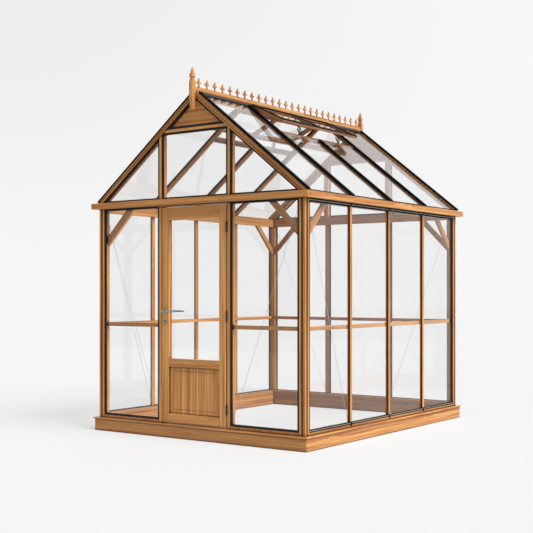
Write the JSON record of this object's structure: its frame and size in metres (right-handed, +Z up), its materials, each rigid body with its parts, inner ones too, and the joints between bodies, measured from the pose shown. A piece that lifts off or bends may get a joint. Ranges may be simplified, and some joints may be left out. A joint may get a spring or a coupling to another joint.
{
  "type": "glass greenhouse",
  "caption": "Timber-framed glass greenhouse on a low plinth with a hinged half-glazed door, open roof vents, ridge cresting and finials.",
  "frame": {"origin": "bottom centre of the plinth, on the ground", "axes": "+X right seen from the door side, +Y from the door wall towards the back, +Z up"},
  "size_m": [2.398, 2.9, 3.238],
  "materials": {
    "cedar": "oiled, satin",
    "glass": "clear, polished",
    "seal": "satin black",
    "black_metal": "satin black powder coat",
    "black_iron": "matt black",
    "handle_steel": "satin",
    "wire_steel": "bright wire"
  },
  "bodies": {
    "greenhouse": {"plinth_front": "cedar", "plinth_back": "cedar", "plinth_left": "cedar", "plinth_right": "cedar", "sill_rails": "cedar", "corner_posts": "cedar", "door_posts": "cedar", "wall_studs": "cedar", "inner_rails": "cedar", "knee_braces": "cedar", "eave_front": "cedar", "eave_back": "cedar", "eave_left": "cedar", "eave_right": "cedar", "rakes_front": "cedar", "rakes_back": "cedar", "gable_studs": "cedar", "gable_collars": "cedar", "gable_panels": "cedar", "ridge_beam": "cedar", "ridge_flashing": "black_metal", "ridge_capping": "cedar", "ridge_cresting": "cedar", "finials": "cedar", "rafters": "cedar", "roof_bar_caps": "black_metal", "roof_glass": "glass", "vent_trimmers": "cedar", "vent_sashes": "cedar", "vent_glass": "glass", "vent_openers": "black_iron", "wall_glass_front": "glass", "wall_glass_back": "glass", "wall_glass_left": "glass", "wall_glass_right": "glass", "gable_glass": "glass", "wall_seals": "seal", "gable_seals": "seal", "bracing_wires": "wire_steel", "door_head": "cedar", "frame_hinges": "black_iron"},
    "door": {"door_stiles": "cedar", "door_rails": "cedar", "door_panel": "cedar", "door_glass": "glass", "door_roses": "handle_steel", "door_hinges": "black_iron"},
    "lever": {"door_levers": "handle_steel"}
  },
  "joints": [
    {"name": "door_hinge", "type": "hinge", "parent": "greenhouse", "child": "door", "pos_m": [0.3495, -1.401, 1.08], "axis": [0, 0, 1], "range_deg": [0, 110]},
    {"name": "lever_turn", "type": "hinge", "parent": "door", "child": "lever", "pos_m": [-0.335, -1.374, 1.112], "axis": [0, 1, 0], "range_deg": [0, 45], "stiffness_Nm_per_rad": 1.5, "springref_deg": -17.19}
  ]
}
